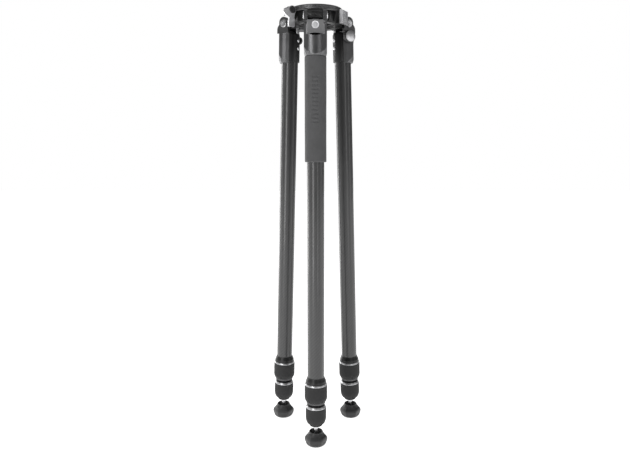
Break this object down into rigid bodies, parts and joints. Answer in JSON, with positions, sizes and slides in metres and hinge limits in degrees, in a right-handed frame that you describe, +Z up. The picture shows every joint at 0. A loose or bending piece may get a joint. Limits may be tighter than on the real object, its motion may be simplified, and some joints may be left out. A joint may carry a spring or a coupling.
{
  "type": "camera tripod legs",
  "caption": "Closed carbon-fibre tripod legs with telescoping twist-lock sections, swivelling rubber feet and a flat top platform with a head screw.",
  "frame": {"origin": "on the floor, under the centre of the platform and midway between the feet", "axes": "+Z up, along the head screw; the front leg, with the padded grip, stands towards -Y; +X is to the right of someone facing the front leg"},
  "size_m": [0.1768, 0.1586, 0.7895],
  "materials": {
    "black_casting": "satin black",
    "platform_grey": "anodised dark grey",
    "casting_grey": "satin metallic grey",
    "tab_grey": "satin metallic grey",
    "silver": "bright anodised",
    "steel": "bright",
    "black_plastic": "matte",
    "bush_plastic": "natural",
    "carbon": "satin clear coat over woven carbon fibre",
    "lock_rubber": "matte",
    "foot_rubber": "matte",
    "grip_foam": "soft matte"
  },
  "bodies": {
    "apex": {"spider": "black_casting", "clamp_screw": "steel"},
    "platform": {"platform": "platform_grey"},
    "head_screw": {"head_screw": "steel"},
    "lever": {"clamp_lever": "silver", "lever_cap": "black_plastic"},
    "catch": {"release_catch": "silver"},
    "leg_front": {"shoulder_front": "casting_grey", "inner_strap_front": "black_casting", "pivot_bolt_front": "steel", "upper_tube_front": "carbon", "upper_collar_front": "black_casting", "leg_grip": "grip_foam"},
    "tab_front": {"angle_tab_front": "tab_grey"},
    "upper_lock_front": {"upper_nut_front": "silver", "upper_sleeve_front": "lock_rubber"},
    "middle_front": {"middle_tube_front": "carbon", "middle_bush_front": "bush_plastic", "lower_collar_front": "black_casting"},
    "lower_lock_front": {"lower_nut_front": "silver", "lower_sleeve_front": "lock_rubber"},
    "lower_front": {"lower_tube_front": "carbon", "foot_stem_front": "steel"},
    "foot_cup_front": {"foot_front": "foot_rubber"},
    "port_plug_front": {"port_plug_front": "silver"},
    "leg_left": {"shoulder_left": "casting_grey", "inner_strap_left": "black_casting", "pivot_bolt_left": "steel", "upper_tube_left": "carbon", "upper_collar_left": "black_casting"},
    "tab_left": {"angle_tab_left": "tab_grey"},
    "upper_lock_left": {"upper_nut_left": "silver", "upper_sleeve_left": "lock_rubber"},
    "middle_left": {"middle_tube_left": "carbon", "middle_bush_left": "bush_plastic", "lower_collar_left": "black_casting"},
    "lower_lock_left": {"lower_nut_left": "silver", "lower_sleeve_left": "lock_rubber"},
    "lower_left": {"lower_tube_left": "carbon", "foot_stem_left": "steel"},
    "foot_cup_left": {"foot_left": "foot_rubber"},
    "port_plug_left": {"port_plug_left": "silver"},
    "leg_right": {"shoulder_right": "casting_grey", "inner_strap_right": "black_casting", "pivot_bolt_right": "steel", "upper_tube_right": "carbon", "upper_collar_right": "black_casting"},
    "tab_right": {"angle_tab_right": "tab_grey"},
    "upper_lock_right": {"upper_nut_right": "silver", "upper_sleeve_right": "lock_rubber"},
    "middle_right": {"middle_tube_right": "carbon", "middle_bush_right": "bush_plastic", "lower_collar_right": "black_casting"},
    "lower_lock_right": {"lower_nut_right": "silver", "lower_sleeve_right": "lock_rubber"},
    "lower_right": {"lower_tube_right": "carbon", "foot_stem_right": "steel"},
    "foot_cup_right": {"foot_right": "foot_rubber"},
    "port_knob": {"port_knob": "black_plastic", "knob_cap": "silver"}
  },
  "joints": [
    {"name": "platform_lift", "type": "slide", "parent": "apex", "child": "platform", "axis": [0, 0, 1], "range_m": [0, 0.05]},
    {"name": "head_screw_turn", "type": "hinge", "parent": "platform", "child": "head_screw", "pos_m": [0, 0, 0.781], "axis": [0, 0, 1], "continuous": true},
    {"name": "clamp_lever_swing", "type": "hinge", "parent": "apex", "child": "lever", "pos_m": [-0.04111, -0.03759, 0.7725], "axis": [0.5, -0.866, 0], "range_deg": [-120, 0]},
    {"name": "catch_slide", "type": "slide", "parent": "apex", "child": "catch", "axis": [0, 0, -1], "range_m": [0, 0.005], "stiffness_N_per_m": 400, "springref_m": -0.004},
    {"name": "leg_spread_front", "type": "hinge", "parent": "apex", "child": "leg_front", "pos_m": [0, -0.057, 0.76], "axis": [-1, 0, 0], "range_deg": [0, 80]},
    {"name": "tab_pull_front", "type": "hinge", "parent": "leg_front", "child": "tab_front", "pos_m": [0, -0.06819, 0.74784], "axis": [-1, 0, 0], "range_deg": [0, 16], "stiffness_Nm_per_rad": 0.12, "springref_deg": -20.05},
    {"name": "port_turn_front", "type": "hinge", "parent": "leg_front", "child": "port_plug_front", "pos_m": [-0.0196, -0.05524, 0.73643], "axis": [-1, 0, 0], "continuous": true},
    {"name": "upper_lock_twist_front", "type": "hinge", "parent": "leg_front", "child": "upper_lock_front", "pos_m": [0, -0.07523, 0.10025], "axis": [0, -0.0314, -0.9995], "range_deg": [0, 90]},
    {"name": "middle_slide_front", "type": "slide", "parent": "leg_front", "child": "middle_front", "axis": [0, -0.0314, -0.9995], "range_m": [0, 0.46]},
    {"name": "lower_lock_twist_front", "type": "hinge", "parent": "middle_front", "child": "lower_lock_front", "pos_m": [0, -0.07649, 0.06027], "axis": [0, -0.0314, -0.9995], "range_deg": [0, 90]},
    {"name": "lower_slide_front", "type": "slide", "parent": "middle_front", "child": "lower_front", "axis": [0, -0.0314, -0.9995], "range_m": [0, 0.46]},
    {"name": "foot_tilt_front", "type": "hinge", "parent": "lower_front", "child": "foot_cup_front", "pos_m": [0, -0.07804, 0.011], "axis": [-1, 0, 0], "range_deg": [-20, 20]},
    {"name": "leg_spread_left", "type": "hinge", "parent": "apex", "child": "leg_left", "pos_m": [-0.04936, 0.0285, 0.76], "axis": [0.5, 0.866, 0], "range_deg": [0, 80]},
    {"name": "tab_pull_left", "type": "hinge", "parent": "leg_left", "child": "tab_left", "pos_m": [-0.05905, 0.03409, 0.74784], "axis": [0.5, 0.866, 0], "range_deg": [0, 16], "stiffness_Nm_per_rad": 0.12, "springref_deg": -20.05},
    {"name": "port_turn_left", "type": "hinge", "parent": "leg_left", "child": "port_plug_left", "pos_m": [-0.03804, 0.04459, 0.73643], "axis": [0.5, 0.866, 0], "continuous": true},
    {"name": "upper_lock_twist_left", "type": "hinge", "parent": "leg_left", "child": "upper_lock_left", "pos_m": [-0.06515, 0.03762, 0.10025], "axis": [-0.0272, 0.0157, -0.9995], "range_deg": [0, 90]},
    {"name": "middle_slide_left", "type": "slide", "parent": "leg_left", "child": "middle_left", "axis": [-0.0272, 0.0157, -0.9995], "range_m": [0, 0.46]},
    {"name": "lower_lock_twist_left", "type": "hinge", "parent": "middle_left", "child": "lower_lock_left", "pos_m": [-0.06624, 0.03824, 0.06027], "axis": [-0.0272, 0.0157, -0.9995], "range_deg": [0, 90]},
    {"name": "lower_slide_left", "type": "slide", "parent": "middle_left", "child": "lower_left", "axis": [-0.0272, 0.0157, -0.9995], "range_m": [0, 0.46]},
    {"name": "foot_tilt_left", "type": "hinge", "parent": "lower_left", "child": "foot_cup_left", "pos_m": [-0.06758, 0.03902, 0.011], "axis": [0.5, 0.866, 0], "range_deg": [-20, 20]},
    {"name": "leg_spread_right", "type": "hinge", "parent": "apex", "child": "leg_right", "pos_m": [0.04936, 0.0285, 0.76], "axis": [0.5, -0.866, 0], "range_deg": [0, 80]},
    {"name": "tab_pull_right", "type": "hinge", "parent": "leg_right", "child": "tab_right", "pos_m": [0.05905, 0.03409, 0.74784], "axis": [0.5, -0.866, 0], "range_deg": [0, 16], "stiffness_Nm_per_rad": 0.12, "springref_deg": -20.05},
    {"name": "port_turn_right", "type": "hinge", "parent": "leg_right", "child": "port_knob", "pos_m": [0.05764, 0.01065, 0.73643], "axis": [0.5, -0.866, 0], "continuous": true},
    {"name": "upper_lock_twist_right", "type": "hinge", "parent": "leg_right", "child": "upper_lock_right", "pos_m": [0.06515, 0.03762, 0.10025], "axis": [0.0272, 0.0157, -0.9995], "range_deg": [0, 90]},
    {"name": "middle_slide_right", "type": "slide", "parent": "leg_right", "child": "middle_right", "axis": [0.0272, 0.0157, -0.9995], "range_m": [0, 0.46]},
    {"name": "lower_lock_twist_right", "type": "hinge", "parent": "middle_right", "child": "lower_lock_right", "pos_m": [0.06624, 0.03824, 0.06027], "axis": [0.0272, 0.0157, -0.9995], "range_deg": [0, 90]},
    {"name": "lower_slide_right", "type": "slide", "parent": "middle_right", "child": "lower_right", "axis": [0.0272, 0.0157, -0.9995], "range_m": [0, 0.46]},
    {"name": "foot_tilt_right", "type": "hinge", "parent": "lower_right", "child": "foot_cup_right", "pos_m": [0.06758, 0.03902, 0.011], "axis": [0.5, -0.866, 0], "range_deg": [-20, 20]}
  ]
}
